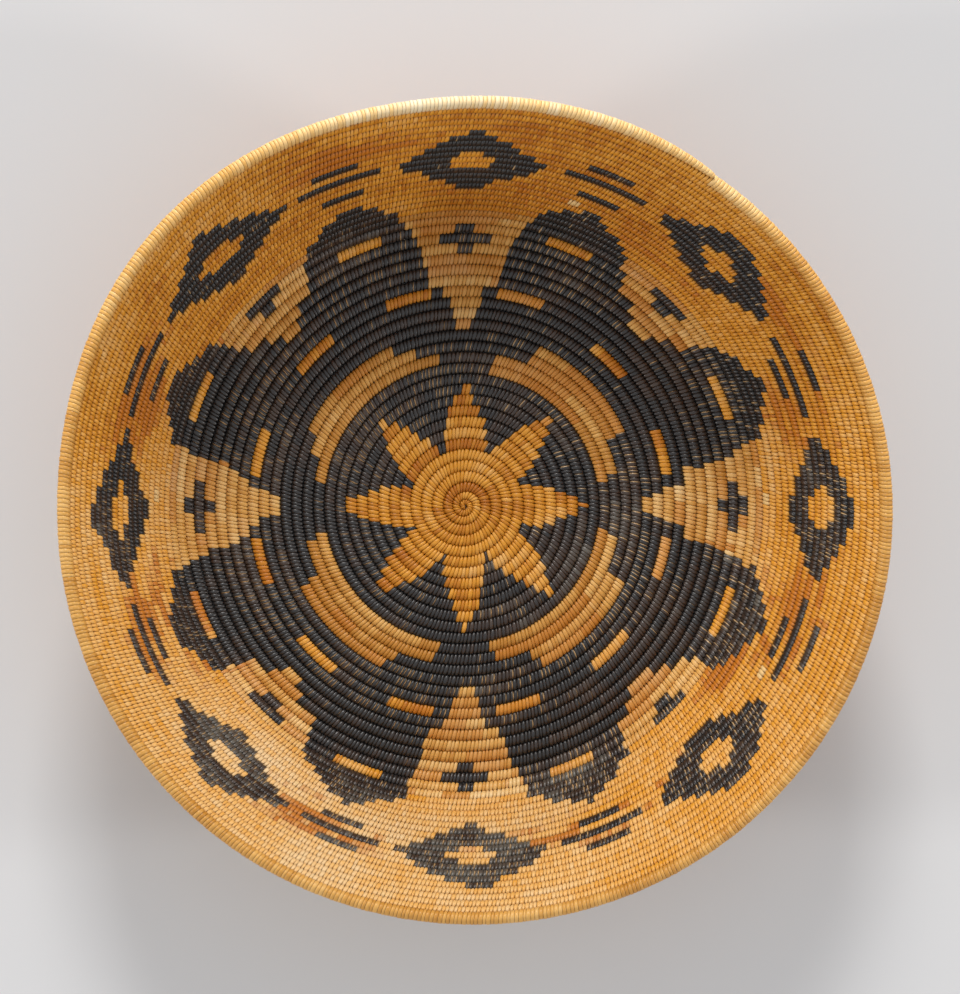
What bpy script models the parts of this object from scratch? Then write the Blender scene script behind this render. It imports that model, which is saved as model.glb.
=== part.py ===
"""A round coiled basket bowl: a bundle of grass wound in a spiral, wrapped and sewn to itself with split
rush strands in golden and dark colours, which make the design on its inside and its outside.

Metres, +Z up, mouth up, with the origin in the middle of the flat floor that the bowl rests on. The shell
is drawn flat, seen from above, as rows of cells. Each cell is a few stitches of two rounds of the coil, so
the design has the stepped edges of coiled work. Each colour field is a plate inside and a plate outside the
bundle, joined by stitches that pass through it."""

from math import asin, atan2, cos, hypot, pi, radians, sin, tan

import bmesh
import bpy

# Driving sizes of the bowl, on the middle of the coil's thickness
FLOOR_RADIUS = 0.132
TURN_RADIUS = 0.020
WALL_LENGTH = 0.0962
WALL_SLOPE = radians(59)

# Unevenness of the handmade outline at the rim, which fades to none at the floor
OVAL_REACH = 0.0014
BULGE_REACH = 0.0053
BULGE_DIRECTION = radians(137)
BULGE_HALF_ANGLE = radians(45)

# The coil: the grass bundle inside it and the strands over it
BUNDLE_THICKNESS = 0.0024
STRAND_THICKNESS = 0.0010
KNOT_RADIUS = 0.0060
CLEARANCE = 0.0003

# The rim, a plain last round of the coil
RIM_BUNDLE_RADIUS = 0.00135
RIM_SIDES = 6
TAIL_DIRECTION = radians(55)
TAIL_WIDTH = 0.0022
TAIL_THICKNESS = 0.0016
TAIL_SECTORS = 4
TAIL_ROUNDNESS_SHARE = 0.8

# The cells of the design
SECTORS = 48
FLOOR_ROWS = 12
TURN_ROWS = 3
WALL_ROWS = 9
STITCH_MARGIN_SHARE = 0.3
FLAT_ENOUGH = radians(0.5)
SHARP_EDGE = radians(30)

# Each motif: how many stand round the bowl, the share of their spacing that the first is turned by, the
# row where it starts, its width in cells in each row outward from there, and the row where a stitch in its
# middle goes through the bundle
LOBES = (8, 0, 2, (5, 3, 1), 3)
ARCS = (4, 0.5, 6, (9, 5), 6)
STEPS = (4, 0, 8, (1, 1, 3, 3, 3, 3, 3), 11)
TEETH = (4, 0.5, 11, (1, 3, 3, 3), 12)
PEAKS = (8, 0.5, 12, (3, 3, 3, 3, 1), 13)
DIAMONDS = (8, 0, 17, (1, 3, 3, 3, 1), 18)
EYES = (8, 0, 19, (1,), 19)
RING_STITCHES = (8, 0, 5, (1,), 5)
PANEL_STITCHES = (8, 0.5, 19, (1,), 19)
BORDER_STITCHES = (8, 0, 22, (1,), 22)
ROSETTE_ROW_COUNT = 2
WALL_PANELS_START = FLOOR_ROWS + TURN_ROWS
BORDER_START = 22

# Colours are linear
GOLDEN = (0.56, 0.27, 0.07)
PALE_GOLDEN = (0.66, 0.36, 0.11)
DARK = (0.020, 0.016, 0.014)
GRASS = (0.45, 0.33, 0.16)
STRAND_ROUGHNESS = 0.5
GRASS_ROUGHNESS = 0.8

# Sizes that follow from those above
BUNDLE_HALF = BUNDLE_THICKNESS / 2
PLATE_INNER = BUNDLE_HALF + CLEARANCE
PLATE_OUTER = PLATE_INNER + STRAND_THICKNESS
COIL_THICKNESS = 2 * PLATE_OUTER
TURN_END_RADIUS = FLOOR_RADIUS + TURN_RADIUS * sin(WALL_SLOPE)
TURN_END_HEIGHT = PLATE_OUTER + TURN_RADIUS * (1 - cos(WALL_SLOPE))
RIM_RADIUS = TURN_END_RADIUS + WALL_LENGTH * cos(WALL_SLOPE)
RIM_HEIGHT = TURN_END_HEIGHT + WALL_LENGTH * sin(WALL_SLOPE)
RIM_HOLLOW_RADIUS = (RIM_BUNDLE_RADIUS + CLEARANCE) / cos(pi / RIM_SIDES)
RIM_COIL_RADIUS = RIM_HOLLOW_RADIUS + STRAND_THICKNESS
WALL_END_RADIUS = RIM_RADIUS - (RIM_BUNDLE_RADIUS + CLEARANCE) * cos(WALL_SLOPE)
ROWS = FLOOR_ROWS + TURN_ROWS + WALL_ROWS


def clear_scene():
    for old in list(bpy.data.objects):
        bpy.data.objects.remove(old)


def sector_angle(sector):
    """The direction of the edge where a sector of cells starts. The first sector lies across +X."""
    return 2 * pi * (sector - 0.5) / SECTORS


def row_radius(row):
    """The radius, seen from above, of the circle where a row of cells starts."""
    if row <= FLOOR_ROWS:
        start = KNOT_RADIUS + CLEARANCE / 2
        return start + (FLOOR_RADIUS - start) * row / FLOOR_ROWS
    if row <= FLOOR_ROWS + TURN_ROWS:
        return FLOOR_RADIUS + TURN_RADIUS * sin(WALL_SLOPE * (row - FLOOR_ROWS) / TURN_ROWS)
    share = (row - FLOOR_ROWS - TURN_ROWS) / WALL_ROWS
    return TURN_END_RADIUS + (WALL_END_RADIUS - TURN_END_RADIUS) * share


def facet_radius(x, y):
    """The radius of the sector's corners that lie on one chord with this place, so that facets stay flat."""
    sector = round(atan2(y, x) / (2 * pi) * SECTORS)
    middle = 2 * pi * sector / SECTORS
    return (x * cos(middle) + y * sin(middle)) / cos(pi / SECTORS)


def on_bowl(x, y, offset):
    """The point above a place in the flat drawing, at an offset from the middle of the coil's thickness."""
    radius = facet_radius(x, y)
    if radius <= FLOOR_RADIUS:
        slope = 0
        height = PLATE_OUTER
    elif radius <= TURN_END_RADIUS:
        slope = asin((radius - FLOOR_RADIUS) / TURN_RADIUS)
        height = PLATE_OUTER + TURN_RADIUS * (1 - cos(slope))
    else:
        slope = WALL_SLOPE
        height = TURN_END_HEIGHT + (radius - TURN_END_RADIUS) * tan(WALL_SLOPE)
    drawn_in = 1 - offset * sin(slope) / radius
    return x * drawn_in, y * drawn_in, height + offset * cos(slope)


def at_rim(angle, along, across):
    """A point near the rim: along the wall's slope from the last round's middle, and across it, inward."""
    radius = RIM_RADIUS + along * cos(WALL_SLOPE) - across * sin(WALL_SLOPE)
    height = RIM_HEIGHT + along * sin(WALL_SLOPE) + across * cos(WALL_SLOPE)
    return radius * cos(angle), radius * sin(angle), height


def make_uneven(work):
    """Moves each point outward by the unevenness of the outline, more the nearer it is to the rim."""
    for vertex in work.verts:
        radius = hypot(vertex.co.x, vertex.co.y)
        rise = (radius - FLOOR_RADIUS) / (RIM_RADIUS - FLOOR_RADIUS)
        if rise <= 0:
            continue
        angle = atan2(vertex.co.y, vertex.co.x)
        from_bulge = (angle - BULGE_DIRECTION + pi) % (2 * pi) - pi
        reach = OVAL_REACH * cos(2 * angle)
        if abs(from_bulge) < BULGE_HALF_ANGLE:
            reach += BULGE_REACH * cos(from_bulge / BULGE_HALF_ANGLE * pi / 2) ** 2
        vertex.co.xy *= 1 + reach * rise / radius


def add_object(name, work, colour, roughness):
    """Makes a named object with its own material from the working mesh."""
    make_uneven(work)
    bmesh.ops.recalc_face_normals(work, faces=work.faces)
    mesh = bpy.data.meshes.new(name)
    work.to_mesh(mesh)
    work.free()
    mesh.shade_smooth()
    mesh.set_sharp_from_angle(angle=SHARP_EDGE)
    material = bpy.data.materials.new(name)
    material.use_nodes = True
    surface = material.node_tree.nodes["Principled BSDF"]
    surface.inputs["Base Color"].default_value = (*colour, 1)
    surface.inputs["Roughness"].default_value = roughness
    mesh.materials.append(material)
    bpy.context.collection.objects.link(bpy.data.objects.new(name, mesh))


def motif_middle(motif, number):
    """The middle of one copy of a motif, in cells from the first."""
    count, turned_share = motif[:2]
    return (number + turned_share) * SECTORS / count


def motif_cells(motif, number):
    """The cells of one copy of a motif, as (row, sector)."""
    _, _, first_row, widths, _ = motif
    middle = motif_middle(motif, number)
    cells = set()
    for step, width in enumerate(widths):
        first = round(middle - (width - 1) / 2)
        cells |= {(first_row + step, (first + i) % SECTORS) for i in range(width)}
    return cells


def all_cells(motif):
    return set().union(*(motif_cells(motif, number) for number in range(motif[0])))


def stitch_cells(motif):
    """The cells in the middle of each copy of a motif where a stitch goes through the bundle."""
    return {(motif[4], int(motif_middle(motif, number)) % SECTORS) for number in range(motif[0])}


def whole_rows(first, last):
    return {(row, sector) for row in range(first, last) for sector in range(SECTORS)}


def wall_panel(number):
    """The cells of the wall from the middle of one diamond to the middle of the next."""
    width = SECTORS // DIAMONDS[0]
    sectors = range(number * width, (number + 1) * width)
    return {(row, sector) for row in range(WALL_PANELS_START, BORDER_START) for sector in sectors}


def design():
    """Each colour field's name, its cells, the cells where its stitches go through, and its colour."""
    fields = []
    golden = set()
    for base, motif in (("golden_arc", ARCS), ("golden_step", STEPS), ("golden_tooth", TEETH)):
        for number in range(motif[0]):
            cells = motif_cells(motif, number)
            fields.append((f"{base}_{number + 1}", cells, stitch_cells(motif) & cells, PALE_GOLDEN))
            golden |= cells
    rosette = whole_rows(0, ROSETTE_ROW_COUNT) | all_cells(LOBES)
    fields.append(("centre_rosette", rosette, stitch_cells(LOBES), GOLDEN))
    dark = whole_rows(ROSETTE_ROW_COUNT, FLOOR_ROWS) - rosette - golden
    fields.append(("dark_field", dark, stitch_cells(RING_STITCHES), DARK))
    for number in range(PEAKS[0]):
        peak = motif_cells(PEAKS, number)
        fields.append((f"dark_peak_{number + 1}", peak, stitch_cells(PEAKS) & peak, DARK))
    taken = all_cells(PEAKS) | all_cells(DIAMONDS)
    for number in range(DIAMONDS[0]):
        eye = motif_cells(EYES, number)
        diamond = motif_cells(DIAMONDS, number) - eye
        panel = wall_panel(number) - taken
        fields.append((f"dark_diamond_{number + 1}", diamond, stitch_cells(DIAMONDS) & diamond, DARK))
        fields.append((f"diamond_eye_{number + 1}", eye, eye, GOLDEN))
        fields.append((f"golden_panel_{number + 1}", panel, stitch_cells(PANEL_STITCHES) & panel, GOLDEN))
    fields.append(("upper_border", whole_rows(BORDER_START, ROWS), stitch_cells(BORDER_STITCHES), GOLDEN))
    return fields


def drawn_flat(cells, stitches, ease):
    """The cells as a flat mesh, its edges drawn in by half of the clearance, with a small face where each
    stitch goes through, larger by ease on every side. Returns the mesh and its layer of stitch numbers."""
    work = bmesh.new()
    numbers = work.faces.layers.int.new("stitch")
    corners = {}
    stitched = []
    for row, sector in sorted(cells):
        loop = []
        for step, turn in ((0, 0), (1, 0), (1, 1), (0, 1)):
            key = (row + step, (sector + turn) % SECTORS)
            if key not in corners:
                radius, angle = row_radius(key[0]), sector_angle(key[1])
                corners[key] = work.verts.new((radius * cos(angle), radius * sin(angle), 0))
            loop.append(corners[key])
        face = work.faces.new(loop)
        if (row, sector) in stitches:
            stitched.append(face)
    work.normal_update()
    border = bmesh.ops.inset_region(
        work, faces=work.faces[:], thickness=CLEARANCE / 2, use_boundary=True, use_even_offset=True
    )
    bmesh.ops.delete(work, geom=border["faces"], context="FACES")
    work.normal_update()
    for number, face in enumerate(stitched):
        shortest = min(edge.calc_length() for edge in face.edges)
        bmesh.ops.inset_individual(
            work, faces=[face], thickness=STITCH_MARGIN_SHARE * shortest - ease, use_even_offset=True
        )
        face[numbers] = number + 1
    return work, numbers


def raise_plate(work, faces, low, high):
    """Turns flat faces into a plate between two offsets. Returns its lower and its upper faces."""
    made = bmesh.ops.extrude_face_region(work, geom=faces)["geom"]
    upper = [part for part in made if isinstance(part, bmesh.types.BMFace)]
    for side, offset in ((faces, low), (upper, high)):
        for vertex in {vertex for face in side for vertex in face.verts}:
            vertex.co = on_bowl(vertex.co.x, vertex.co.y, offset)
    return faces, upper


def bridge_stitches(work, numbers, one_side, other_side):
    """Joins the two sides at each stitch."""
    starts = {face[numbers]: face for face in one_side if face[numbers]}
    ends = {face[numbers]: face for face in other_side if face[numbers]}
    for number, start in starts.items():
        edges = list(start.edges) + list(ends[number].edges)
        bmesh.ops.delete(work, geom=[start, ends[number]], context="FACES_ONLY")
        bmesh.ops.bridge_loops(work, edges=edges)


def join_flat_faces(work):
    bmesh.ops.dissolve_limit(work, angle_limit=FLAT_ENOUGH, verts=work.verts, edges=work.edges)


def make_field(name, cells, stitches, colour):
    """One colour field: a plate inside and a plate outside the bundle, joined through it."""
    work, numbers = drawn_flat(cells, stitches, 0)
    outside = work.faces[:]
    copied = bmesh.ops.duplicate(work, geom=outside)["geom"]
    inside = [part for part in copied if isinstance(part, bmesh.types.BMFace)]
    facing_in = raise_plate(work, outside, -PLATE_OUTER, -PLATE_INNER)[1]
    facing_out = raise_plate(work, inside, PLATE_INNER, PLATE_OUTER)[0]
    bridge_stitches(work, numbers, facing_in, facing_out)
    join_flat_faces(work)
    add_object(name, work, colour, STRAND_ROUGHNESS)


def make_foundation(stitches):
    """The coiled bundle of grass, with a hole for the starting knot and one for each stitch."""
    work, numbers = drawn_flat(whole_rows(0, ROWS), stitches, CLEARANCE)
    under, over = raise_plate(work, work.faces[:], -BUNDLE_HALF, BUNDLE_HALF)
    bridge_stitches(work, numbers, under, over)
    join_flat_faces(work)
    add_object("foundation_coil", work, GRASS, GRASS_ROUGHNESS)


def make_knot():
    """The knot of strands that the coil starts from, as thick as the coil."""
    work = bmesh.new()
    bmesh.ops.create_cone(
        work,
        cap_ends=True,
        segments=SECTORS // 2,
        radius1=KNOT_RADIUS,
        radius2=KNOT_RADIUS,
        depth=COIL_THICKNESS,
    )
    bmesh.ops.translate(work, verts=work.verts, vec=(0, 0, COIL_THICKNESS / 2))
    add_object("start_knot", work, GOLDEN, STRAND_ROUGHNESS)


def turned_ring(section):
    """A ring with this section round the rim, given as (along, across) points."""
    work = bmesh.new()
    points = [work.verts.new(at_rim(sector_angle(0), *point)) for point in section]
    edges = [work.edges.new((points[i - 1], points[i])) for i in range(len(points))]
    bmesh.ops.spin(
        work,
        geom=points + edges,
        axis=(0, 0, 1),
        cent=(0, 0, 0),
        angle=2 * pi,
        steps=SECTORS,
        use_merge=True,
    )
    return work


def make_rim():
    """The last round's bundle, and the strands that wrap over it and down its two sides."""
    turns = [2 * pi * side / RIM_SIDES for side in range(RIM_SIDES)]
    bundle = [(RIM_BUNDLE_RADIUS * sin(turn), RIM_BUNDLE_RADIUS * cos(turn)) for turn in turns]
    add_object("rim_foundation", turned_ring(bundle), GRASS, GRASS_ROUGHNESS)
    over = [2 * pi * side / RIM_SIDES for side in range(RIM_SIDES // 2 + 1)]
    leg = -RIM_BUNDLE_RADIUS
    outline = [(leg, RIM_COIL_RADIUS)]
    outline += [(RIM_COIL_RADIUS * sin(turn), RIM_COIL_RADIUS * cos(turn)) for turn in over]
    outline += [(leg, -RIM_COIL_RADIUS), (leg, -RIM_HOLLOW_RADIUS)]
    outline += [
        (RIM_HOLLOW_RADIUS * sin(turn), RIM_HOLLOW_RADIUS * cos(turn)) for turn in reversed(over)
    ]
    outline += [(leg, RIM_HOLLOW_RADIUS)]
    add_object("rim_wrapping", turned_ring(outline), PALE_GOLDEN, STRAND_ROUGHNESS)


def make_tail():
    """The thin end of the coil, bound down on top of the rim."""
    work = bmesh.new()
    seat = RIM_COIL_RADIUS * cos(pi / RIM_SIDES) + CLEARANCE
    first = round(TAIL_DIRECTION / (2 * pi) * SECTORS - TAIL_SECTORS / 2)
    sections = []
    for step in range(TAIL_SECTORS + 1):
        fullness = cos((step / TAIL_SECTORS - 0.5) * pi * TAIL_ROUNDNESS_SHARE)
        top = seat + TAIL_THICKNESS * fullness
        half = TAIL_WIDTH / 2
        outline = ((seat, half), (seat, -half), (top, -half / 2), (top, half / 2))
        angle = sector_angle(first + step)
        sections.append([work.verts.new(at_rim(angle, *point)) for point in outline])
    for one, other in zip(sections, sections[1:]):
        for i in range(len(one)):
            work.faces.new((one[i - 1], one[i], other[i], other[i - 1]))
    work.faces.new(sections[0])
    work.faces.new(sections[-1])
    add_object("coil_end", work, PALE_GOLDEN, STRAND_ROUGHNESS)


def main():
    clear_scene()
    stitches = set()
    for name, cells, through, colour in design():
        make_field(name, cells, through, colour)
        stitches |= through
    make_foundation(stitches)
    make_knot()
    make_rim()
    make_tail()


main()
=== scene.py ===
"""The looks of a round coiled basket bowl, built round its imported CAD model.

The bowl is one coil, a bundle of grass wound in a spiral from the knot in its middle to the rim. Split rush
strands wrap the bundle and are sewn into the round below, and each wrap is a stitch. Every stitch is
modelled. A stitch belongs to the colour field that its place falls in, so the edges of the design step from
round to round and from stitch to stitch, as they do on coiled work."""

from math import cos, pi, radians, sin, tan

import bmesh
import bpy
import numpy as np
from mathutils import Matrix, Vector


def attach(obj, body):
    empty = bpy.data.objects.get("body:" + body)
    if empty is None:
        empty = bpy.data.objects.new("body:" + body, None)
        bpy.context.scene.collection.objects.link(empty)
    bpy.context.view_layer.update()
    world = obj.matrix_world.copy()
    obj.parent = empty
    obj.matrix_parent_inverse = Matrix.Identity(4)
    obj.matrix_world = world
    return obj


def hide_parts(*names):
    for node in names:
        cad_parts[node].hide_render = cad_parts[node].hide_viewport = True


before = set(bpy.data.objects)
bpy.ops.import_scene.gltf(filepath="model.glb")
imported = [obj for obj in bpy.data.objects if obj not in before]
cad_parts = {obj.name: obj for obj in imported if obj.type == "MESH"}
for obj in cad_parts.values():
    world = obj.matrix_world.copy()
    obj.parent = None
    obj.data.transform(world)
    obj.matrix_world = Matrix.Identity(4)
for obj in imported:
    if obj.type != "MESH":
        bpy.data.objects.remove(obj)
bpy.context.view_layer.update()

# Sizes of the bowl, on the middle of the coil's thickness, as in the CAD model
KNOT_RADIUS = 0.00615
FLOOR_RADIUS = 0.132
TURN_RADIUS = 0.020
WALL_LENGTH = 0.0962
WALL_SLOPE = radians(59)
RIM_SEAT = 0.00165
HALF_THICKNESS = 0.0025
OVAL_REACH = 0.0014
BULGE_REACH = 0.0053
BULGE_DIRECTION = radians(137)
BULGE_HALF_ANGLE = radians(45)
TURN_LENGTH = TURN_RADIUS * WALL_SLOPE
SECTION_LENGTH = FLOOR_RADIUS + TURN_LENGTH + WALL_LENGTH
RIM_RADIUS = FLOOR_RADIUS + TURN_RADIUS * sin(WALL_SLOPE) + WALL_LENGTH * cos(WALL_SLOPE)

# The coil: the width of its rounds on the floor and on the wall, how far one overlaps the next, and the
# share of a round over which it turns into the rim
START_PITCH = 0.0025
FLOOR_PITCH = 0.00545
WALL_PITCH = 0.00495
PITCH_CHANGE = 0.012
OUTER_SIDE = FLOOR_PITCH / 3
OVERLAP_SHARE = 1.06
RIM_HALF_THICKNESS = 0.0029
RIM_CHANGE = 0.08
COIL_START = 0.0003
END_DIRECTION = radians(55)
END_TAPER = 0.050
END_SHARE = 0.34
START_TAPER = 0.040
START_SHARE = 0.90
BUNDLE_SHARE = 0.66
SECTION_POWER = 0.8

# The stitches: their width, how far they lean, and shares of that width or of the coil's thickness. A
# stitch is broad on the crest of its round, and its ends are narrow and reach in among those of the next
STITCH_WIDTH = 0.0020
STITCH_JITTER_SHARE = 0.17
STITCH_LEAN = 0.00060
CREST_HALF_SHARE = 0.43
FLOOR_VALLEY_HALF_SHARE = 0.30
WALL_VALLEY_HALF_SHARE = 0.19
GROOVE_SHARE = 0.14
VALLEY_GROOVE_SHARE = 0.17
CREST_LIFT_SHARE = 0.015
END_LIFT_SHARE = 0.13
STITCH_SIZE_SHARE = 0.034
RINGS = 4
SIDE_ANGLES = (0, 36, 70)
BUNDLE_STEP = 4

# Unevenness of hand work. The lift keeps the thickest stitches off the ground. The finer patterns are the
# slow sway pressed together by so much round the bowl and along its section
ROUND_SWAY = 0.00030
HEIGHT_SWAY = 0.00030
BASE_LIFT = 0.00015
THICKNESS_SWAY_SHARE = 0.035
SWAY_WAVES = 6
SWAY_ALONG = 90
SWAY_ALONG_STEP = 35
FINE_SWELL = (3, 9)
FINE_FLECKS = (2, 14)

# Each draw of random numbers has a seed of its own
SEED = 7
START_SEED, SWELL_SEED, ROUND_SEED, HEIGHT_SEED, EDGE_SEED, SIZE_SEED = range(1, 7)
STRAND_SEED, STRAND_TONE_SEED, STITCH_TONE_SEED = range(11, 14)
FLECK_SEED, FLECK_SWAY_SEED, STRAW_SEED, WARM_SEED = range(14, 18)

# The design in cells: a row is a band of about two rounds, and a full turn has 48 cells
CELLS_ROUND = 48
ROW_LENGTHS = (KNOT_RADIUS, FLOOR_RADIUS, FLOOR_RADIUS + TURN_LENGTH, SECTION_LENGTH - RIM_SEAT)
ROW_NUMBERS = (0, 12, 15, 24)
ROSETTE_ROW, TURN_ROW, WALL_ROW, BORDER_ROW = 2, 12, 15, 22
EDGE_JITTER = 0.09

# Each motif: how many stand round the bowl, the share of their spacing that the first is turned by, and its
# width in cells at rows outward
LOBES = (8, 0, (1.4, 2, 5.3), (6, 5.8, 0.1))
ARCS = (4, 0.5, (6, 6.95, 7.05, 8), (9.6, 8.8, 5.6, 4.8))
STEPS = (4, 0, (8, 9.9, 10.1, 15), (0.5, 1.5, 2.3, 3.5))
TEETH = (4, 0.5, (11, 11.9, 12.1, 15), (0.5, 1.6, 2.5, 3.3))
PEAKS = (8, 0.5, (12, 15, 17.1), (3.4, 3.0, 0.2))
DIAMONDS = (8, 0, (17, 19.5, 22), (0.25, 3.5, 0.25))
EYES = (8, 0, (18.7, 19.5, 20.3), (0.3, 1.25, 0.3))

# The small inlays, which are a few rounds wide: their piece, how many there are and how far the first is
# turned, as above, the row that they start at, and their width in cells on each round outward
INLAYS = (
    ("dark_marks", 4, 0, 11.6, (0.45, 1.4, 0.45)),
    ("dark_marks", 4, 0.5, 12.8, (0.5, 1.15)),
    ("golden_dashes", 12, 0.5, 9.2, (1.7,)),
    ("golden_dashes", 8, 0.5, 13.1, (1.3,)),
    ("wall_bars", 8, 0.5, 18.1, (1.0,)),
    ("wall_bars", 8, 0.5, 19.2, (1.9,)),
    ("wall_bars", 8, 0.5, 20.3, (1.0,)),
)

# Colours, linear
GOLDEN = (0.86, 0.378, 0.033)
GOLDEN_LIGHT = (0.94, 0.550, 0.185)
# The palest golden, of faded strands and of the painted highlight on the lit wall
GOLDEN_FADED_AND_HIGHLIGHT = (0.95, 0.690, 0.380)
GOLDEN_DEEP = (0.52, 0.160, 0.006)
PALE = (0.81, 0.430, 0.102)
PALE_LIGHT = (0.94, 0.620, 0.255)
# The palest of the pale golden, of faded strands and of the painted highlight on the lit wall
PALE_FADED_AND_HIGHLIGHT = (0.96, 0.745, 0.435)
PALE_DEEP = (0.58, 0.245, 0.030)
# The rim's palest, which is the painted highlight along its top
RIM_HIGHLIGHT = (0.95, 0.810, 0.550)
RUSSET = (0.58, 0.175, 0.010)
STRAW = (0.92, 0.62, 0.26)
# Painted shade in the grooves and valleys of golden strands, and the darkest grass stems
GROOVE_SHADE_AND_DARK_STEM = (0.095, 0.027, 0.002)
DARK = (0.0130, 0.0118, 0.0118)
DARK_BROWN = (0.044, 0.023, 0.013)
# Grey of a few patches, and the painted sheen on the lit lower wall
DARK_FADED_AND_SHEEN = (0.125, 0.112, 0.092)
# Painted shade in the grooves and valleys of dark strands
DARK_GROOVE_SHADE = (0.0035, 0.0028, 0.0025)
FLECK = (0.80, 0.530, 0.250)
GRASS = (0.45, 0.33, 0.16)
FLOOR_COLOUR = (0.74, 0.74, 0.75)
BACKDROP = (0.80, 0.81, 0.83)

# How the pieces are made and mapped
SAMPLES = 24000
MOST_STITCHES = 2300
QUAD = 4
MAP_MARGIN = 0.04
CAP_EDGE = radians(75)
HALF_CELL = 0.5

# The photograph's view, and the studio
CAMERA_LENS = 180
CAMERA_SENSOR = 36
CAMERA_TARGET = (0.0003, 0.0078, 0.0947)
CAMERA_DISTANCE = 2.395
CAMERA_LEFT = radians(4.7)
CAMERA_UP = radians(2.2)
LAMP_COLOUR = (1, 0.985, 0.96)
LAMP_TARGET = (0, 0, 0.05)
FILL_STRENGTH = 0.60
FLOOR_REACH = 12
FLOOR_ROUGHNESS = 0.9

# Each lamp: its name, place, width, height and power
LAMPS = (
    ("key", (-0.4, 6.0, 3.6), 1.8, 1.8, 290),
    ("edge", (0.2, 6.0, 0.055), 1.2, 0.09, 150),
    ("left", (-5.8, -1.2, 2.4), 0.8, 0.8, 104),
    ("right", (5.8, -1.0, 2.4), 0.8, 0.8, 88),
)


def steady_noise(seed, size):
    """Random numbers from -1 to 1 that are the same in each run."""
    return np.random.default_rng(SEED + seed).uniform(-1, 1, size)


def profile(length):
    """Radius, height and slope of the bowl at a distance along its section from the middle."""
    slope = np.clip(length - FLOOR_RADIUS, 0, TURN_LENGTH) / TURN_RADIUS
    up_wall = np.maximum(length - FLOOR_RADIUS - TURN_LENGTH, 0)
    radius = np.minimum(length, FLOOR_RADIUS) + TURN_RADIUS * np.sin(slope) + up_wall * cos(WALL_SLOPE)
    height = HALF_THICKNESS + TURN_RADIUS * (1 - np.cos(slope)) + up_wall * sin(WALL_SLOPE)
    return radius, height, slope


def pitch_at(length):
    """The width of a round at a distance along the bowl's section."""
    places = (0, PITCH_CHANGE, FLOOR_RADIUS + TURN_LENGTH, FLOOR_RADIUS + TURN_LENGTH + PITCH_CHANGE)
    return np.interp(length, places, (START_PITCH, FLOOR_PITCH, FLOOR_PITCH, WALL_PITCH))


def add_up(values, steps):
    """The running integral of sampled values."""
    middle = (values[1:] + values[:-1]) / 2
    return np.concatenate(([0], np.cumsum(middle * steps)))


# The spiral, sampled: distance along the section, rounds from the start, and distance along the coil, which
# is measured on the outer side of its rounds, where the stitches are as wide as it says
END_LENGTH = SECTION_LENGTH + WALL_PITCH / 2
section_lengths = np.linspace(COIL_START, END_LENGTH, SAMPLES)
section_steps = np.diff(section_lengths)
rounds = add_up(1 / pitch_at(section_lengths), section_steps)
outer_radii = profile(section_lengths)[0] + OUTER_SIDE
coil_lengths = add_up(2 * pi * outer_radii / pitch_at(section_lengths), section_steps)
COIL_LENGTH = coil_lengths[-1]
ROUNDS = rounds[-1]

# Where each stitch starts along the coil, and the last one ends
STITCHES = int(COIL_LENGTH / STITCH_WIDTH)
stitch_starts = np.linspace(0, COIL_LENGTH, STITCHES + 1)
stitch_starts[1:-1] += steady_noise(START_SEED, STITCHES - 1) * STITCH_JITTER_SHARE * STITCH_WIDTH
stitch_sizes = steady_noise(SIZE_SEED, STITCHES + 1)


def place_of(along):
    """The distance along the section, the rounds from the start and the direction of places on the coil."""
    length = np.interp(along, coil_lengths, section_lengths)
    turned = np.interp(along, coil_lengths, rounds)
    return length, turned, END_DIRECTION + 2 * pi * (ROUNDS - turned)


def reach_at(direction):
    """How far the rim stands out from a circle."""
    from_bulge = (direction - BULGE_DIRECTION + pi) % (2 * pi) - pi
    bulge = np.where(
        np.abs(from_bulge) < BULGE_HALF_ANGLE, np.cos(from_bulge / BULGE_HALF_ANGLE * pi / 2) ** 2, 0
    )
    return OVAL_REACH * np.cos(2 * direction) + BULGE_REACH * bulge


def sway(direction, length, seed):
    """A slow unevenness, from -1 to 1, that neighbouring rounds share."""
    shifts = steady_noise(seed, SWAY_WAVES) * pi
    total = np.zeros_like(direction)
    for number, shift in enumerate(shifts):
        along = length * (SWAY_ALONG + SWAY_ALONG_STEP * number)
        total += np.sin((number + 1) * direction + shift + along) / (number + 1)
    return total / sum(1 / (number + 1) for number in range(SWAY_WAVES))


def rounded(share):
    """The sine or cosine of a turn round the coil's section, which is a little squarer than round."""
    return np.sign(share) * np.abs(share) ** SECTION_POWER


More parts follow.
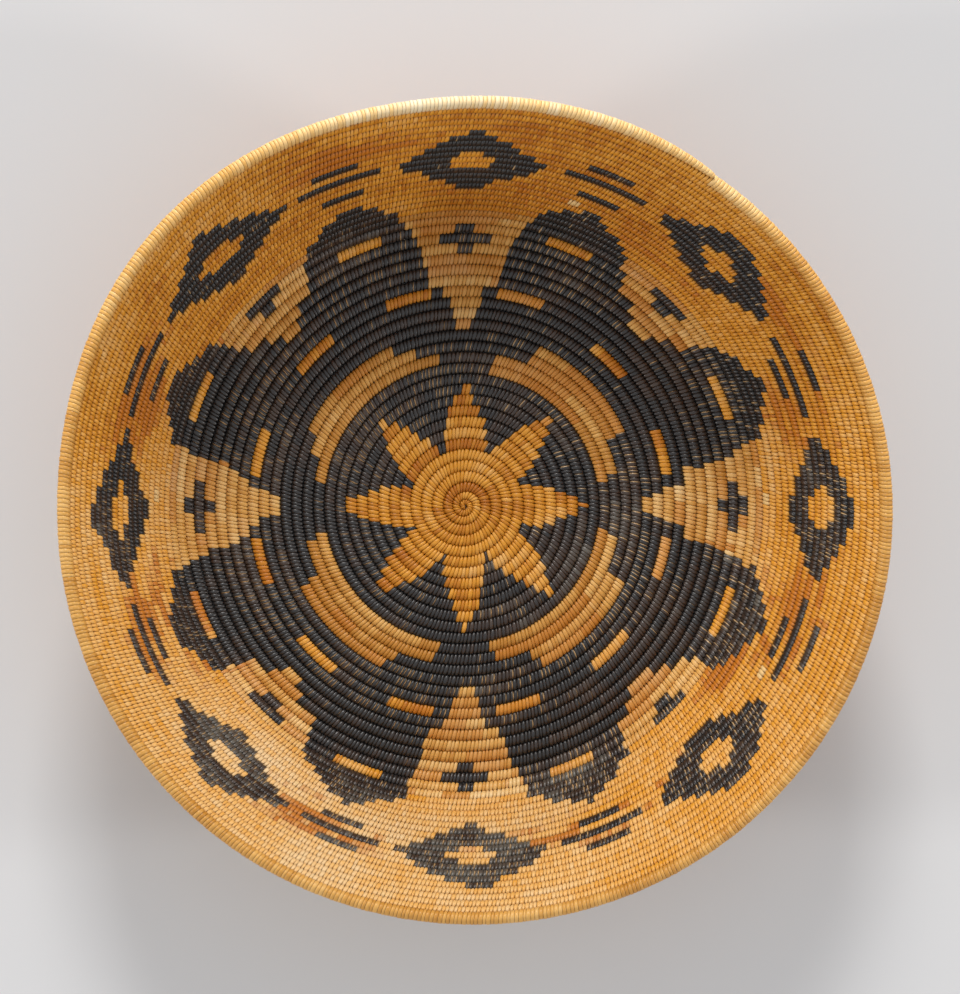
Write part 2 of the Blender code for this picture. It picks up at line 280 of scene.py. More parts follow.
def coil_point(along, turn, fullness):
    """Points of the coil's surface: at a distance along it, turned round its section from its inner face
    towards the rim, at a share of its thickness."""
    length, turned, direction = place_of(along)
    rim_share = np.clip((turned - ROUNDS + 1 + RIM_CHANGE) / RIM_CHANGE, 0, 1)
    start_share = START_SHARE + (1 - START_SHARE) * np.clip(along / START_TAPER, 0, 1)
    end_share = END_SHARE + (1 - END_SHARE) * np.sqrt(np.clip((COIL_LENGTH - along) / END_TAPER, 0, 1))
    length = length - (1 - end_share) * WALL_PITCH / 2
    half_width = pitch_at(length) / 2 * OVERLAP_SHARE * (1 - rim_share) + RIM_HALF_THICKNESS * rim_share
    half_height = HALF_THICKNESS * (1 - rim_share) + RIM_HALF_THICKNESS * rim_share
    fine_sway = sway(direction * FINE_SWELL[0], length * FINE_SWELL[1], SWELL_SEED)
    swell = 1 + THICKNESS_SWAY_SHARE * fine_sway * (1 - rim_share)
    size = fullness * start_share * end_share
    across = half_width * rounded(np.sin(turn)) * size
    inward = half_height * rounded(np.cos(turn)) * size * swell
    radius, height, slope = profile(length + ROUND_SWAY * sway(direction, length, ROUND_SEED))
    raised = (1 + sway(direction, length, HEIGHT_SEED)) / 2
    height = height + BASE_LIFT + HEIGHT_SWAY * raised * (1 - rim_share)
    radius = radius + across * np.cos(slope) - inward * np.sin(slope)
    height = height + across * np.sin(slope) + inward * np.cos(slope)
    rise = np.maximum((radius - FLOOR_RADIUS) / (RIM_RADIUS - FLOOR_RADIUS), 0)
    radius = radius + reach_at(direction) * rise
    return np.stack((radius * np.cos(direction), radius * np.sin(direction), height), axis=-1)


# The places round the coil's section where its faces meet, evenly spread over its inner and its outer face
half_turn = list(SIDE_ANGLES) + [180 - angle for angle in reversed(SIDE_ANGLES[1:])]
section_turns = np.radians(half_turn + [180 + angle for angle in half_turn])
SIDES = len(section_turns)
section_turns = np.append(section_turns, 2 * pi)


def valley_share(stitch, side):
    """How far places round the coil's section lie down in the valley between two rounds, from 0 on the
    crest. The rim has no round beyond it, so its outer side is crest as well."""
    turn = section_turns[side]
    outside = (np.sin(turn) > 0) & (stitch >= rim_start)
    return np.sin(turn) ** 2 * ~outside


def stitch_surface(ring, side):
    """Points of the stitches: a ring in the groove where a stitch starts, one on each of its two shoulders
    and one on its middle."""
    turn = section_turns[side]
    stitch, step = np.minimum(ring // RINGS, STITCHES), ring % RINGS
    valley = valley_share(stitch, side)
    start = stitch_starts[stitch]
    turn_places = (FLOOR_RADIUS, FLOOR_RADIUS + TURN_LENGTH)
    valley_halves = (FLOOR_VALLEY_HALF_SHARE, WALL_VALLEY_HALF_SHARE)
    valley_half = np.interp(place_of(start)[0], turn_places, valley_halves)
    half = valley_half * valley + CREST_HALF_SHARE * (1 - valley)
    share = np.choose(step, (0 * half, 0.5 - half, 0.5 + 0 * half, 0.5 + half))
    width = stitch_starts[np.minimum(stitch + 1, STITCHES)] - start
    along = start + share * width + STITCH_LEAN * np.sin(turn)
    lift = np.choose(
        step,
        (
            -GROOVE_SHARE - VALLEY_GROOVE_SHARE * valley,
            END_LIFT_SHARE / 2 * valley,
            CREST_LIFT_SHARE + END_LIFT_SHARE * valley,
            END_LIFT_SHARE / 2 * valley,
        ),
    )
    lift = lift + STITCH_SIZE_SHARE * stitch_sizes[stitch] * (step > 0)
    return coil_point(np.clip(along, 0, COIL_LENGTH), turn, 1 + lift)


def bundle_surface(ring, side):
    """Points of the bundle, which has a ring every few stitches."""
    turn = section_turns[side]
    along = stitch_starts[np.minimum(ring * BUNDLE_STEP, STITCHES)]
    return coil_point(along, turn, np.full(len(turn), BUNDLE_SHARE))


def runs_of(numbers):
    """The unbroken runs in a rising list of numbers, as pairs of the first and the one after the last."""
    breaks = np.flatnonzero(np.diff(numbers) > 1) + 1
    return [(part[0], part[-1] + 1) for part in np.split(numbers, breaks)]


def wrapped_tube(name, runs, rings_each, surface):
    """A piece made of closed lengths of the coil. It starts as one flat grid, a column for each ring and a
    row for each side. The grid is cut between the lengths, closed into tubes, capped, and laid on the
    surface."""
    rings = np.concatenate([np.arange(first * rings_each, last * rings_each + 1) for first, last in runs])
    columns = len(rings) - 1
    work = bmesh.new()
    work.loops.layers.uv.new("Strand")
    bmesh.ops.create_grid(
        work,
        x_segments=columns,
        y_segments=SIDES,
        size=HALF_CELL,
        matrix=Matrix.Diagonal((columns, SIDES, 1, 1)) @ Matrix.Translation((HALF_CELL, HALF_CELL, 0)),
        calc_uvs=True,
    )
    gaps = set(np.flatnonzero(np.diff(rings) != 1))
    cut = [face for face in work.faces if int(face.calc_center_median().x) in gaps]
    bmesh.ops.delete(work, geom=cut, context="FACES")
    seam = [vertex for vertex in work.verts if not HALF_CELL < vertex.co.y < SIDES - HALF_CELL]
    for vertex in seam:
        vertex.co.y = 0
    bmesh.ops.remove_doubles(work, verts=seam, dist=HALF_CELL / 2)
    open_edges = [edge for edge in work.edges if edge.is_boundary]
    bmesh.ops.holes_fill(work, edges=open_edges, sides=0)
    mesh = bpy.data.meshes.new(name)
    work.to_mesh(mesh)
    grid = np.empty(len(mesh.vertices) * 3)
    mesh.vertices.foreach_get("co", grid)
    column, side = np.rint(grid.reshape(-1, 3)[:, :2]).astype(int).T
    mesh.vertices.foreach_set("co", surface(rings[column], side).ravel())
    work.clear()
    work.from_mesh(mesh)
    bmesh.ops.recalc_face_normals(work, faces=work.faces)
    work.to_mesh(mesh)
    work.free()
    return mesh, rings, column, side


# What each stitch is: its middle's place in the design, and how the strand that made it looks
middles = (stitch_starts[1:] + stitch_starts[:-1]) / 2
lengths, turns_done, directions = place_of(middles)
rim_start = np.searchsorted(turns_done, ROUNDS - 1)
rows = np.interp(lengths, ROW_LENGTHS, ROW_NUMBERS)
sample_rows = np.interp(section_lengths, ROW_LENGTHS, ROW_NUMBERS)
cells = directions / (2 * pi) * CELLS_ROUND % CELLS_ROUND
edge_noise = steady_noise(EDGE_SEED, (int(ROUNDS) + 1, 2 * CELLS_ROUND)) * EDGE_JITTER


def copies(count, turned_share):
    """For a motif that stands round the bowl: each stitch's nearest copy, how far it lies from that copy's
    middle in cells, and how many rounds the coil has made where the stitch's round passes that middle."""
    spacing = CELLS_ROUND / count
    number = np.rint(cells / spacing - turned_share).astype(int)
    offset = cells - (number + turned_share) * spacing
    return number % count, offset, turns_done + offset / CELLS_ROUND


def stitches_in(motif):
    """Which stitches lie in a motif, and in which copy of it. Its edges are a little uneven from round to
    round."""
    count, turned_share, at_rows, widths = motif
    number, offset, turned = copies(count, turned_share)
    row = np.interp(turned, rounds, sample_rows)
    half = np.interp(row, at_rows, widths, left=0, right=0) / 2
    uneven = edge_noise[turns_done.astype(int), 2 * number + (offset > 0)]
    return np.abs(offset) < half + uneven * (half > 0), number


def stitches_in_inlay(count, turned_share, start_row, widths):
    """Which stitches lie in an inlay. Its rounds are whole: none starts or ends part of the way across."""
    number, offset, turned = copies(count, turned_share)
    order = np.floor(turned - np.interp(start_row, sample_rows, rounds)).astype(int)
    half = np.array((*widths, 0))[np.where((order >= 0) & (order < len(widths)), order, -1)] / 2
    return np.abs(offset) < half


def field_names():
    """The name of the CAD node, or of the small inlay, that each stitch belongs to."""
    numbered = np.array([str(number + 1) for number in range(CELLS_ROUND)], dtype=object)
    panel = ((cells + 0.5) * DIAMONDS[0] / CELLS_ROUND).astype(int) % DIAMONDS[0]
    names = np.full(STITCHES, "upper_border", dtype=object)
    names = np.where(rows < BORDER_ROW, "golden_panel_" + numbered[panel], names)
    names = np.where(rows < WALL_ROW, "dark_peak_" + numbered[stitches_in(PEAKS)[1]], names)
    names[rows < TURN_ROW] = "dark_field"
    for base, motif in (
        ("golden_arc_", ARCS),
        ("golden_step_", STEPS),
        ("golden_tooth_", TEETH),
        ("dark_peak_", PEAKS),
        ("dark_diamond_", DIAMONDS),
        ("diamond_eye_", EYES),
    ):
        inside, number = stitches_in(motif)
        if motif is PEAKS:
            inside &= rows >= WALL_ROW
        names = np.where(inside, base + numbered[number], names)
    for piece, *inlay in INLAYS:
        names[stitches_in_inlay(*inlay)] = piece
    names[stitches_in(LOBES)[0] | (rows < ROSETTE_ROW)] = "centre_rosette"
    names[lengths < KNOT_RADIUS] = "start_knot"
    names[turns_done > ROUNDS - 1] = "rim_wrapping"
    names[middles > COIL_LENGTH - END_TAPER] = "coil_end"
    return names.astype(str)


def strand_numbers():
    """The number of the strand that made each stitch."""
    fewest, too_many = STRAND_STITCHES
    chance = np.random.default_rng(SEED + STRAND_SEED)
    ends = np.cumsum(chance.integers(fewest, too_many, STITCHES // fewest))
    return np.searchsorted(ends, np.arange(STITCHES), side="right")


# Where russet strands were used: direction in degrees, row, half width in degrees and in rows, and share
RUSSET_PLACES = (
    (161, 19.2, 8, 1.8, 1.1),
    (199, 18.6, 7, 1.4, 1.0),
    (205, 16.2, 12, 0.9, 0.8),
    (110, 21.6, 8, 0.9, 1.1),
    (17, 18.4, 6, 1.3, 1.0),
    (343, 18.6, 8, 1.6, 1.2),
    (327, 15.8, 8, 0.9, 0.9),
    (242, 19.6, 8, 1.2, 1.1),
    (28, 20.6, 16, 1.0, 0.6),
    (150, 12.0, 10, 2.0, 0.5),
    (200, 13.0, 12, 1.5, 0.6),
    (291, 18.5, 18, 1.0, 0.5),
    (70, 16.5, 20, 1.2, 0.5),
)

# How uneven russet is from strand to strand and from stitch to stitch, how quickly it sets in, and the most
# that a stitch can be
RUSSET_UNEVEN = (1.3, 0.5)
RUSSET_GAIN = 2.7
RUSSET_CUT = 0.9
RUSSET_LEAST = 0.05
RUSSET_MOST = 0.9

# A strand makes from 5 to 23 stitches. How far its tone strays, less on the wall than on the floor, and how
# far each stitch's does
STRAND_STITCHES = (5, 24)
STRAND_ROWS = (12, 16)
STRAND_TONES = (0.60, 0.24)
STITCH_TONE = 0.34

# The floor's warm strands, from a row outward, and the runs of straw stitches, between two rows
WARM_STRANDS = 0.45
WARM_ROW = 5
STRAW_RUN = 3
STRAW_RARITY = 0.993
STRAW_ROWS = (11, 19)
STRAW_TONE = 2

# Painted light and shade on the wall, lighter on the lower and the right wall, as lit, and darker on the
# upper wall, as in shade: direction and half width in degrees, and tone. On the wall it sets in between two
# rows. Then the tones of the rim, with its painted highlight along the top, the rosette and the arcs
WALL_LIGHT_AND_SHADE = ((245, 54, 1.3), (88, 45, -0.35), (352, 35, 0.25))
WALL_LIGHT_ROWS = (12, 17)
RIM_TOP_HIGHLIGHT = (88, 37, 1.75)
RIM_TONE = -0.35
ROSETTE_TONE = -0.22
ARC_TONE = -0.60

# The pale bundle between two dark stitches: how much the slow sway gathers it, where it starts to show and
# how quickly it does, and how much less it shows in the valleys
FLECK_SWAY = 1.1
FLECK_FROM = 0.15
FLECK_GAIN = 1.6
FLECK_VALLEY_LOSS = 0.7

# Painted shade: how dark the groove between two stitches is painted on the crest, and a stitch in the valley
CREST_GROOVE_SHADE = 0.86
VALLEY_SHADE = 0.52

# How the strands are shaded. Noise is stretched by a number along each axis of its coordinate
FIBRE_STRETCH = (5200, 260, 1)
FIBRE_DETAIL = 3
PATCH_DETAIL = 2
FIBRE_DEPTH = 0.00006
FIBRE_ROUGHNESS = 0.2
GROOVE_ROUGHNESS = 0.35
TONE_WEIGHT = 0.42
BUMP_STRENGTH = 0.5

# The golden strands: their patches, the weights of patch and fibre in the shade, the shade to start from,
# the ramp's stops, where straw begins and how quickly, how strong the painted shade in the grooves is, and
# the finish
GOLDEN_PATCH_STRETCH = (16, 16, 30)
GOLDEN_WEIGHTS = (0.9, 0.6)
GOLDEN_SHADE = 0.5
GOLDEN_SHADE_REACH = 0.75
GOLDEN_STOPS = (0.06, 0.38, 0.70, 1)
STRAW_FROM = 1.6
STRAW_GAIN = 2.5
GOLDEN_GROOVE_SHADE = 0.92
GOLDEN_SPECULAR = 0.42
GOLDEN_ROUGHNESS = 0.30

# The dark strands, the same way
DARK_PATCH_STRETCH = (20, 20, 30)
DARK_WEIGHTS = (1.3, 0.4)
DARK_SHADE = 0.3
DARK_STOPS = (0.25, 0.60, 0.95)
# How strong the painted shade in the grooves of dark strands is
DARK_GROOVE_SHADE_SHARE = 0.9
BUNDLE_SHOWS_GAIN = 1.7
BUNDLE_SHOWS_FROM = 0.75
DARK_SPECULAR = 0.60
DARK_ROUGHNESS = 0.27

# The grass bundle
STEM_STRETCH = (90, 2600, 1)
STEM_DEPTH = 0.0003
STEM_STOPS = (0.3, 0.5, 0.75)
STEM_ROUGHNESS = 0.55
STEM_ROUGHNESS_REACH = 0.3


def near(degrees, half_degrees):
    """How close each stitch lies to a direction, from 1 there to 0 far away."""
    away = (np.degrees(directions) - degrees + 180) % 360 - 180
    return np.exp(-((away / half_degrees) ** 2))


def russet_shares(strand_noise, stitch_noise, warm_noise):
    """How russet each stitch is: soft patches, streaky along the coil because a strand keeps its colour, and
    a few strands of the floor."""
    share = np.zeros(STITCHES)
    for degrees, row, half_degrees, half_rows, most in RUSSET_PLACES:
        patch = most * near(degrees, half_degrees) * np.exp(-(((rows - row) / half_rows) ** 2))
        share = np.maximum(share, patch)
    by_strand, by_stitch = RUSSET_UNEVEN
    uneven = (by_strand * strand_noise + by_stitch * stitch_noise) * (share > RUSSET_LEAST)
    patches = np.clip(RUSSET_GAIN * share + uneven - RUSSET_CUT, 0, RUSSET_MOST)
    warm = np.clip(warm_noise - 1 + 2 * WARM_STRANDS, 0, WARM_STRANDS)
    return np.maximum(patches, warm * (rows > WARM_ROW) * (rows < WALL_ROW))


def tones(strand_noise, stitch_noise, straw_noise):
    """How pale each stitch is: the lower and the right wall are painted lighter, as lit, and the upper wall
    darker, as in shade, the rim's top gets a painted highlight, and a few runs of strands are straw."""
    tone = np.interp(rows, STRAND_ROWS, STRAND_TONES) * strand_noise + STITCH_TONE * stitch_noise
    on_rim = np.arange(STITCHES) >= rim_start
    on_wall = np.interp(rows, WALL_LIGHT_ROWS, (0, 1)) * ~on_rim
    # Painted light and shade: the lower and the right wall lighter, as lit, the upper wall darker, as in
    # shade
    for degrees, half_degrees, most in WALL_LIGHT_AND_SHADE:
        tone += most * near(degrees, half_degrees) * on_wall
    # A painted highlight along the rim's top
    degrees, half_degrees, most = RIM_TOP_HIGHLIGHT
    tone += (RIM_TONE + most * near(degrees, half_degrees)) * on_rim
    tone += ROSETTE_TONE * np.isin(stitch_fields, ("centre_rosette", "start_knot"))
    tone += ARC_TONE * np.char.startswith(stitch_fields, "golden_arc")
    straw_rows = (rows > STRAW_ROWS[0]) & (rows < STRAW_ROWS[1])
    tone[(straw_noise > STRAW_RARITY) & straw_rows] = STRAW_TONE
    return tone


strands = strand_numbers()
strand_noise = steady_noise(STRAND_TONE_SEED, strands.max() + 1)[strands]
straw_noise = np.repeat(steady_noise(STRAW_SEED, STITCHES // STRAW_RUN + 1), STRAW_RUN)[:STITCHES]
stitch_fields = field_names()
stitch_noise = steady_noise(STITCH_TONE_SEED, STITCHES)
stitch_tones = tones(strand_noise, stitch_noise, straw_noise)
warm_noise = steady_noise(WARM_SEED, strands.max() + 1)[strands]
stitch_russets = russet_shares(strand_noise, stitch_noise, warm_noise)

# How far the pale bundle shows at each groove, where a stitch starts or the last one ends
groove_directions = np.append(directions, directions[-1]) * FINE_FLECKS[0]
groove_lengths = np.append(lengths, lengths[-1]) * FINE_FLECKS[1]
fleck_sway = sway(groove_directions, groove_lengths, FLECK_SWAY_SEED)
fleck_noise = steady_noise(FLECK_SEED, STITCHES + 1) + FLECK_SWAY * fleck_sway
groove_flecks = np.clip((fleck_noise - FLECK_FROM) * FLECK_GAIN, 0, 1)


class Signal:
    """A number that changes over a surface. Arithmetic on it adds Math nodes."""

    def __init__(self, shader, socket):
        self.shader = shader
        self.socket = socket

    def math(self, operation, one, other):
        node = self.shader.node("ShaderNodeMath", {"operation": operation}, {0: one, 1: other})
        return Signal(self.shader, node.outputs[0])

    def __add__(self, other):
        return self.math("ADD", self, other)

    def __sub__(self, other):
        return self.math("SUBTRACT", self, other)

    def __mul__(self, other):
        return self.math("MULTIPLY", self, other)

    __radd__ = __add__


class Shader:
    """A procedural material."""

    def __init__(self, name):
        self.material = bpy.data.materials.new(name)
        self.material.use_nodes = True
        self.tree = self.material.node_tree
        self.surface = self.tree.nodes["Principled BSDF"]

    def feed(self, socket, value):
        if isinstance(value, Signal):
            value = value.socket
        if isinstance(value, bpy.types.NodeSocket):
            self.tree.links.new(value, socket)
        else:
            socket.default_value = value

    def node(self, kind, settings=None, sockets=None):
        """Adds a node, with its settings set first and then its sockets. A ramp's stops are a setting."""
        node = self.tree.nodes.new(kind)
        for name, value in (settings or {}).items():
            if name == "stops":
                ramp = node.color_ramp
                while len(ramp.elements) < len(value):
                    ramp.elements.new(1)
                for element, (position, colour) in zip(ramp.elements, value):
                    element.position = position
                    element.color = (*colour, 1)
            else:
                setattr(node, name, value)
        for name, value in (sockets or {}).items():
            self.feed(node.inputs[name], value)
        return node

    def attribute(self, name):
        return Signal(self, self.node("ShaderNodeAttribute", {"attribute_name": name}).outputs["Fac"])

    def noise(self, source, stretch, detail):
        """Noise on a coordinate that is multiplied by stretch along its own axes."""
        mapped = self.node("ShaderNodeMapping", None, {"Vector": source, "Scale": stretch})
        sockets = {"Vector": mapped.outputs[0], "Scale": 1, "Detail": detail}
        return Signal(self, self.node("ShaderNodeTexNoise", None, sockets).outputs["Fac"])

    def fibres(self, stretch):
        """Fine noise along and round the coil, on the map of the strands."""
        strand_map = self.node("ShaderNodeUVMap", {"uv_map": "Strand"}).outputs[0]
        return self.noise(strand_map, stretch, FIBRE_DETAIL)

    def strand_shade(self, start, weights, fibre, patch_stretch):
        """How pale a strand is: by its tone, which holds the painted light and shade of the wall and rim, in
        soft patches over the basket, and by its fibres.
        """
        place = self.node("ShaderNodeTexCoord").outputs["Object"]
        patch = self.noise(place, patch_stretch, PATCH_DETAIL)
        patch_weight, fibre_weight = weights
        shade = start + self.attribute("tone") * TONE_WEIGHT
        return shade + (patch - 0.5) * patch_weight + (fibre - 0.5) * fibre_weight

    def ramp(self, factor, positions, colours):
        stops = list(zip(positions, colours))
        return self.node("ShaderNodeValToRGB", {"stops": stops}, {0: factor}).outputs["Color"]

    def mix(self, factor, one, other):
        """A colour between two others. Sockets 6 and 7 are the Mix node's colours."""
        ends = {0: factor, 6: one, 7: other}
        ends = {key: (*value, 1) if isinstance(value, tuple) else value for key, value in ends.items()}
        return self.node("ShaderNodeMix", {"data_type": "RGBA"}, ends).outputs[2]

    def finish(self, colour, roughness, height, depth):
        self.feed(self.surface.inputs["Base Color"], colour)
        self.feed(self.surface.inputs["Roughness"], roughness)
        sockets = {"Strength": BUMP_STRENGTH, "Distance": depth, "Height": height}
        self.feed(self.surface.inputs["Normal"], self.node("ShaderNodeBump", None, sockets).outputs[0])
        return self.material

    def finish_strand(self, colour, start_roughness, fibre, groove, specular):
        self.surface.inputs["Specular IOR Level"].default_value = specular
        roughness = start_roughness + fibre * FIBRE_ROUGHNESS + groove * GROOVE_ROUGHNESS
        return self.finish(colour, roughness, fibre, FIBRE_DEPTH)


def golden_strand(name, *colours):
    """Split rush: fine fibres along the strand, a tone for each strand and stitch, and russet patches, with
    painted shade in the grooves. The colours go from the deepest to the palest, which is also the painted
    highlight on the lit wall and the rim's top."""
    shader = Shader(name)
    groove = shader.attribute("groove")
    fibre = shader.fibres(FIBRE_STRETCH)
    shade = shader.strand_shade(GOLDEN_SHADE, GOLDEN_WEIGHTS, fibre, GOLDEN_PATCH_STRETCH)
    colour = shader.ramp(shade * GOLDEN_SHADE_REACH, GOLDEN_STOPS, colours)
    colour = shader.mix(shader.attribute("russet"), colour, RUSSET)
    colour = shader.mix((shader.attribute("tone") - STRAW_FROM) * STRAW_GAIN, colour, STRAW)
    # Painted shade in the grooves and valleys
    colour = shader.mix(groove * GOLDEN_GROOVE_SHADE, colour, GROOVE_SHADE_AND_DARK_STEM)
    return shader.finish_strand(colour, GOLDEN_ROUGHNESS, fibre, groove, GOLDEN_SPECULAR)


def dark_strand():
    """Dyed rush: near black, browner where the dye took less, grey in a few patches and as painted sheen on
    the lit lower wall, with painted shade in the grooves and the pale bundle showing in places."""
    shader = Shader("dark_strand")
    groove = shader.attribute("groove")
    fibre = shader.fibres(FIBRE_STRETCH)
    shade = shader.strand_shade(DARK_SHADE, DARK_WEIGHTS, fibre, DARK_PATCH_STRETCH)
    colour = shader.ramp(shade, DARK_STOPS, (DARK, DARK_BROWN, DARK_FADED_AND_SHEEN))
    # Painted shade in the grooves and valleys
    colour = shader.mix(groove * DARK_GROOVE_SHADE_SHARE, colour, DARK_GROOVE_SHADE)
    bundle_shows = shader.attribute("fleck") * BUNDLE_SHOWS_GAIN - BUNDLE_SHOWS_FROM
    colour = shader.mix(bundle_shows, colour, FLECK)
    return shader.finish_strand(colour, DARK_ROUGHNESS, fibre, groove, DARK_SPECULAR)


def grass_bundle():
    """Dry grass stems side by side along the coil."""
    shader = Shader("grass_bundle")
    stems = shader.fibres(STEM_STRETCH)
    colour = shader.ramp(stems, STEM_STOPS, (GROOVE_SHADE_AND_DARK_STEM, GRASS, PALE_LIGHT))
    return shader.finish(colour, STEM_ROUGHNESS + stems * STEM_ROUGHNESS_REACH, stems, STEM_DEPTH)


def write_map(mesh, name, along, around):
    layer = mesh.uv_layers.get(name) or mesh.uv_layers.new(name=name)
    layer.data.foreach_set("uv", np.stack((along, around), axis=-1).ravel())


def corner_places(mesh, rings, column, side):
    """Each face corner's column and row in the grid that the tube was made from. Unlike a vertex, a corner
    says on which side of the seam it lies. Caps have no place in the grid, so theirs are their vertices'."""
    flat_map = np.empty(len(mesh.loops) * 2)
    mesh.uv_layers["Strand"].data.foreach_get("uv", flat_map)
    corner_column = np.rint(flat_map[0::2] * (len(rings) - 1)).astype(int)
    corner_side = np.rint(flat_map[1::2] * SIDES).astype(int)
    vertex = np.empty(len(mesh.loops), dtype=np.int32)
    mesh.loops.foreach_get("vertex_index", vertex)
    face_start = np.empty(len(mesh.polygons), dtype=np.int32)
    face_size = np.empty(len(mesh.polygons), dtype=np.int32)
    mesh.polygons.foreach_get("loop_start", face_start)
    mesh.polygons.foreach_get("loop_total", face_size)
    corner_face = np.repeat(np.arange(len(face_size)), face_size)
    on_cap = (face_size > QUAD)[corner_face]
    corner_column = np.where(on_cap, column[vertex], corner_column)
    corner_side = np.where(on_cap, side[vertex], corner_side)
    face_column = np.minimum.reduceat(corner_column, face_start)
    return corner_column, corner_side, corner_face, face_column


def map_tube(mesh, rings, column, side, rings_each, wrap_width):
    """Writes the two maps: Strand, in metres along and round the coil, for the fibres, and OFBake, where the
    wraps lie side by side in lines that fill a square. Returns the number of each face's wrap."""
    corner_column, corner_side, corner_face, face_column = corner_places(mesh, rings, column, side)
    girth = 2 * pi * HALF_THICKNESS
    around = corner_side / SIDES
    write_map(mesh, "Strand", rings[corner_column] / rings_each * wrap_width, around * girth)
    wraps, order = np.unique(rings[face_column] // rings_each, return_inverse=True)
    lines = max(1, round((len(wraps) * wrap_width / girth) ** 0.5))
    per_line = -(-len(wraps) // lines)
    share = rings[corner_column] / rings_each - wraps[order][corner_face]
    across = (order[corner_face] % per_line + share) / (per_line + 1)
    up = (order[corner_face] // per_line + MAP_MARGIN + (1 - 2 * MAP_MARGIN) * around) / lines
    write_map(mesh, "OFBake", across, up)
    return wraps[order]


def write_attribute(mesh, name, domain, values):
    mesh.attributes.new(name, "FLOAT", domain).data.foreach_set("value", values.astype(np.float32))


def add_piece(name, mesh, material, nodes):
    mesh.shade_smooth()
    mesh.set_sharp_from_angle(angle=CAP_EDGE)
    mesh.materials.append(material)
    piece = bpy.data.objects.new(name, mesh)
    bpy.context.scene.collection.objects.link(piece)
    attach(piece, "root")
    if nodes:
        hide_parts(*nodes)


def stitched_piece(name, numbers, material, slot, nodes):
    """All the stitches of one colour field."""
    mesh, rings, column, side = wrapped_tube(name, runs_of(numbers), RINGS, stitch_surface)
    stitch = np.minimum(map_tube(mesh, rings, column, side, RINGS, STITCH_WIDTH), STITCHES - 1)
    write_attribute(mesh, "tone", "FACE", stitch_tones[stitch])
    write_attribute(mesh, "russet", "FACE", stitch_russets[stitch])
    ring = rings[column]
    # The groove attribute is painted shade: dark in the grooves between stitches, and on stitches down in
    # the valleys between rounds
    between = ring % RINGS == 0
    valley = valley_share(ring // RINGS, side)
    groove_shade_here = CREST_GROOVE_SHADE + (1 - CREST_GROOVE_SHADE) * valley
    write_attribute(mesh, "groove", "POINT", np.where(between, groove_shade_here, VALLEY_SHADE * valley**2))
    beside = ring % RINGS <= 1
    fleck = beside * groove_flecks[ring // RINGS] * (1 - FLECK_VALLEY_LOSS * valley)
    write_attribute(mesh, "fleck", "POINT", fleck)
    add_piece(name, mesh, material, nodes)


def foundation_piece(material):
    """The bundle of grass stems inside the whole coil."""
    runs = [(0, STITCHES // BUNDLE_STEP)]
    mesh, rings, column, side = wrapped_tube("grass_foundation", runs, 1, bundle_surface)
    map_tube(mesh, rings, column, side, 1, STITCH_WIDTH * BUNDLE_STEP)
    add_piece("grass_foundation", mesh, material, ["foundation_coil", "rim_foundation"])


def material_of(field, materials):
    """The record's slot, and its material, for the strands of a colour field."""
    if field in ("rim_wrapping", "coil_end"):
        return materials["rim_strand"], "golden_strand"
    if field.startswith(("dark", "wall_bars")):
        slot = "dark_strand"
    elif field.startswith(("golden_arc", "golden_step", "golden_tooth")):
        slot = "pale_golden_strand"
    else:
        slot = "golden_strand"
    return materials[slot], slot


def make_basket():
    golden_colours = {
        "golden_strand": (GOLDEN_DEEP, GOLDEN, GOLDEN_LIGHT, GOLDEN_FADED_AND_HIGHLIGHT),
        "pale_golden_strand": (PALE_DEEP, PALE, PALE_LIGHT, PALE_FADED_AND_HIGHLIGHT),
        "rim_strand": (PALE_DEEP, PALE, PALE_LIGHT, RIM_HIGHLIGHT),
    }
    materials = {name: golden_strand(name, *colours) for name, colours in golden_colours.items()}
    materials["dark_strand"] = dark_strand()
    for field in sorted(set(stitch_fields)):
        numbers = np.flatnonzero(stitch_fields == field)
        nodes = [field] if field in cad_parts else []
        shares = np.array_split(numbers, -(-len(numbers) // MOST_STITCHES))
        for share, stitches in enumerate(shares):
            ending = "_strands" if len(shares) == 1 else "_strands_" + str(share + 1)
            stitched_piece(field + ending, stitches, *material_of(field, materials), nodes)
    foundation_piece(grass_bundle())


def make_floor():
    """A plain pale floor under the basket."""
    shader = Shader("floor")
    shader.feed(shader.surface.inputs["Base Color"], (*FLOOR_COLOUR, 1))
    shader.feed(shader.surface.inputs["Roughness"], FLOOR_ROUGHNESS)
    work = bmesh.new()
    bmesh.ops.create_grid(work, x_segments=1, y_segments=1, size=FLOOR_REACH)
    mesh = bpy.data.meshes.new("floor")
    work.to_mesh(mesh)
    work.free()
    mesh.materials.append(shader.material)
    floor = bpy.data.objects.new("floor", mesh)
    bpy.context.scene.collection.objects.link(floor)


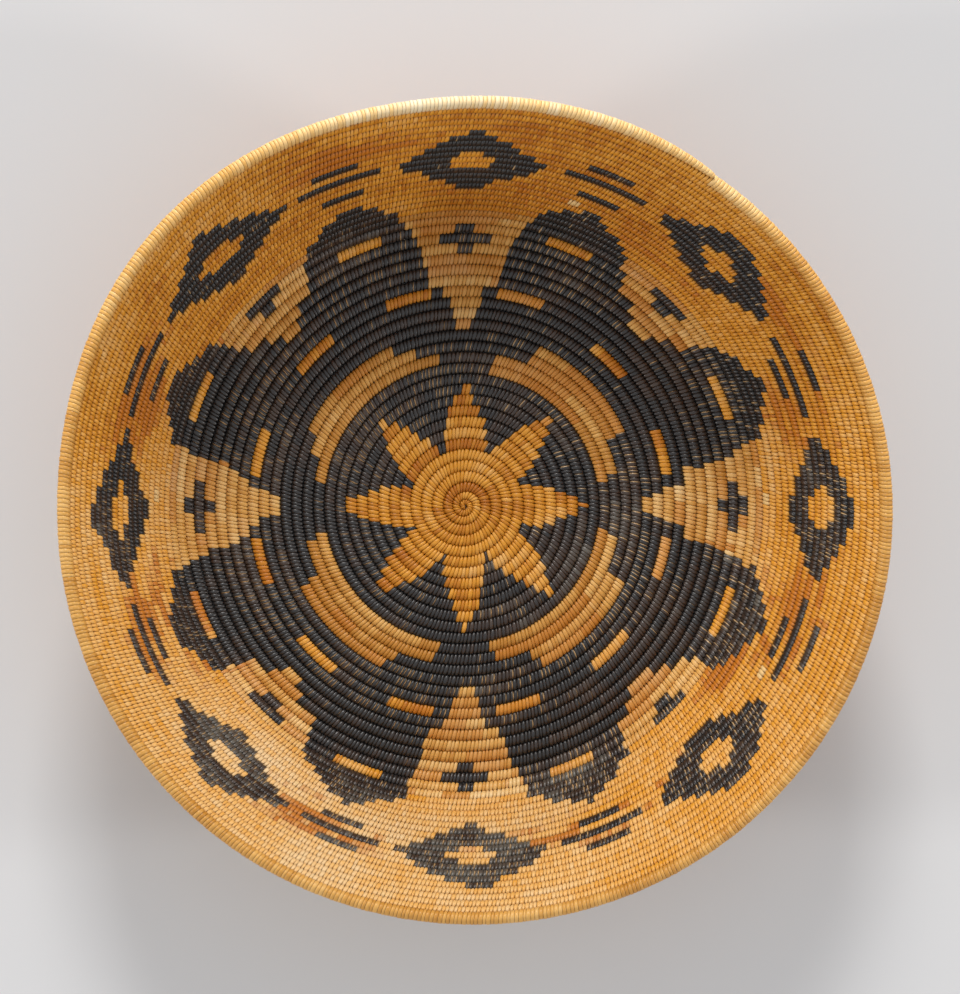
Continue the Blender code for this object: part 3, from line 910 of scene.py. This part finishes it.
def add_lamp(name, place, width, height, power):
    """A soft lamp that points at the basket's middle."""
    lamp = bpy.data.lights.new(name, "AREA")
    lamp.shape = "RECTANGLE"
    lamp.size = width
    lamp.size_y = height
    lamp.energy = power
    lamp.color = LAMP_COLOUR
    holder = bpy.data.objects.new(name, lamp)
    holder.location = place
    towards = Vector(LAMP_TARGET) - Vector(place)
    holder.rotation_euler = towards.to_track_quat("-Z", "Y").to_euler()
    bpy.context.scene.collection.objects.link(holder)


def make_light():
    """A key lamp beyond the far rim, as in the photograph, a low one that catches the rim's edge, and one at
    each side, over an even soft light. The backdrop looks brighter than the light that it gives."""
    for lamp in LAMPS:
        add_lamp(*lamp)
    world = bpy.data.worlds.new("studio")
    bpy.context.scene.world = world
    world.use_nodes = True
    tree = world.node_tree
    path = tree.nodes.new("ShaderNodeLightPath")
    seen = path.outputs["Is Camera Ray"]
    for kind in ("Is Glossy Ray", "Is Transmission Ray"):
        either = tree.nodes.new("ShaderNodeMath")
        either.operation = "MAXIMUM"
        tree.links.new(seen, either.inputs[0])
        tree.links.new(path.outputs[kind], either.inputs[1])
        seen = either.outputs[0]
    strength = tree.nodes.new("ShaderNodeMapRange")
    strength.inputs["To Min"].default_value = FILL_STRENGTH
    strength.inputs["To Max"].default_value = 1
    tree.links.new(seen, strength.inputs["Value"])
    background = tree.nodes["Background"]
    background.inputs["Color"].default_value = (*BACKDROP, 1)
    tree.links.new(strength.outputs["Result"], background.inputs["Strength"])


def make_camera():
    """The photograph looks straight into the mouth, from a little above and to the left of square."""
    data = bpy.data.cameras.new("camera")
    data.lens = CAMERA_LENS
    data.sensor_width = CAMERA_SENSOR
    camera = bpy.data.objects.new("camera", data)
    back = Vector((-tan(CAMERA_LEFT), tan(CAMERA_UP), 1))
    camera.location = Vector(CAMERA_TARGET) + back * CAMERA_DISTANCE
    right = Vector((0, 1, 0)).cross(back).normalized()
    upward = back.cross(right).normalized()
    camera.rotation_euler = Matrix((right, upward, back.normalized())).transposed().to_euler()
    bpy.context.scene.collection.objects.link(camera)
    bpy.context.scene.camera = camera


make_camera()
make_basket()
make_floor()
make_light()
bpy.context.scene.view_settings.view_transform = "Standard"
